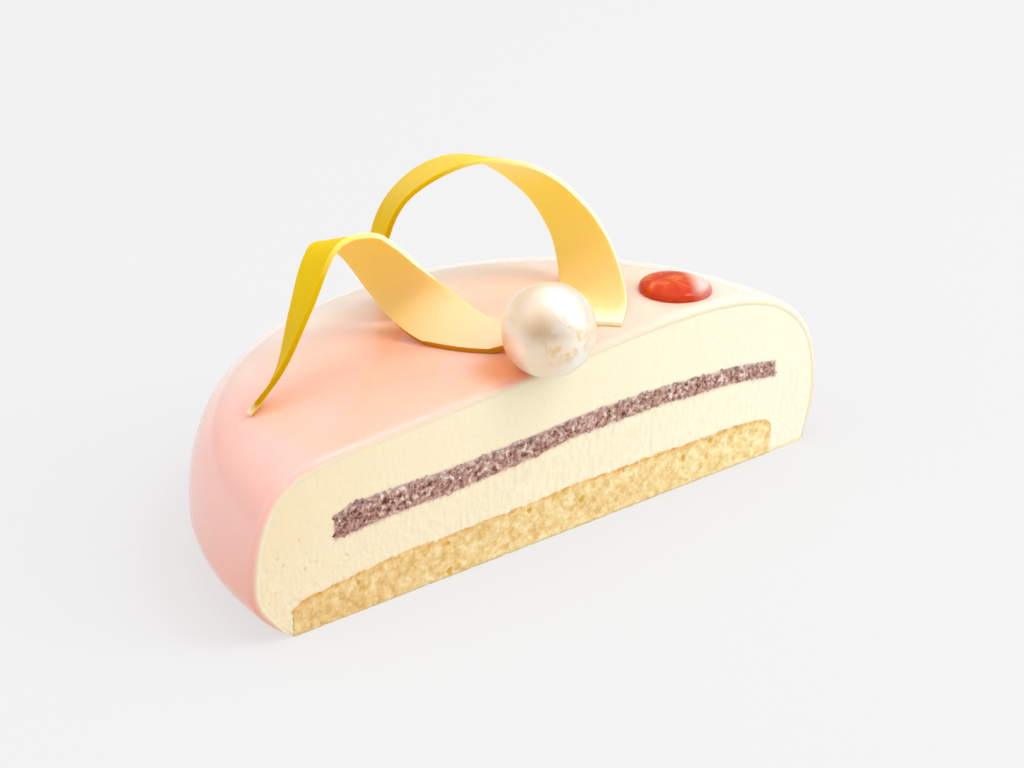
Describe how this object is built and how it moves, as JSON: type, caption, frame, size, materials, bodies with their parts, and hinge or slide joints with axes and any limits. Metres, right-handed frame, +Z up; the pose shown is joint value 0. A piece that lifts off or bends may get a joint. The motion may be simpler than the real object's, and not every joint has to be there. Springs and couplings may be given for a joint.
{
  "type": "semifreddo cake",
  "caption": "Half of a round glazed mousse cake on a flat biscuit base, cut face showing its layers, with chocolate curls, a chocolate pearl and a gel drop on top.",
  "frame": {"origin": "middle of the whole object's bounding box at the base, on the surface that it rests on", "axes": "+X along the cut, from the low end to the high end; +Y from the cut to the round back; +Z up"},
  "size_m": [0.1799, 0.1019, 0.0857],
  "materials": {
    "biscuit": "porous baked sponge, matt",
    "mousse": "fine aerated cream, satin",
    "berry_layer": "frozen berry pieces, granular",
    "glaze": "mirror glaze, fading from pink to cream",
    "curl_chocolate": "coloured white chocolate, soft sheen",
    "pearl_chocolate": "chocolate pearl, soft sheen",
    "gel": "clear set gel, wet"
  },
  "bodies": {
    "root": {"biscuit": "biscuit", "mousse": "mousse", "berry_layer": "berry_layer", "glaze": "glaze", "front_curl": "curl_chocolate", "back_curl": "curl_chocolate", "pearl": "pearl_chocolate", "gel_drop": "gel"}
  },
  "joints": []
}
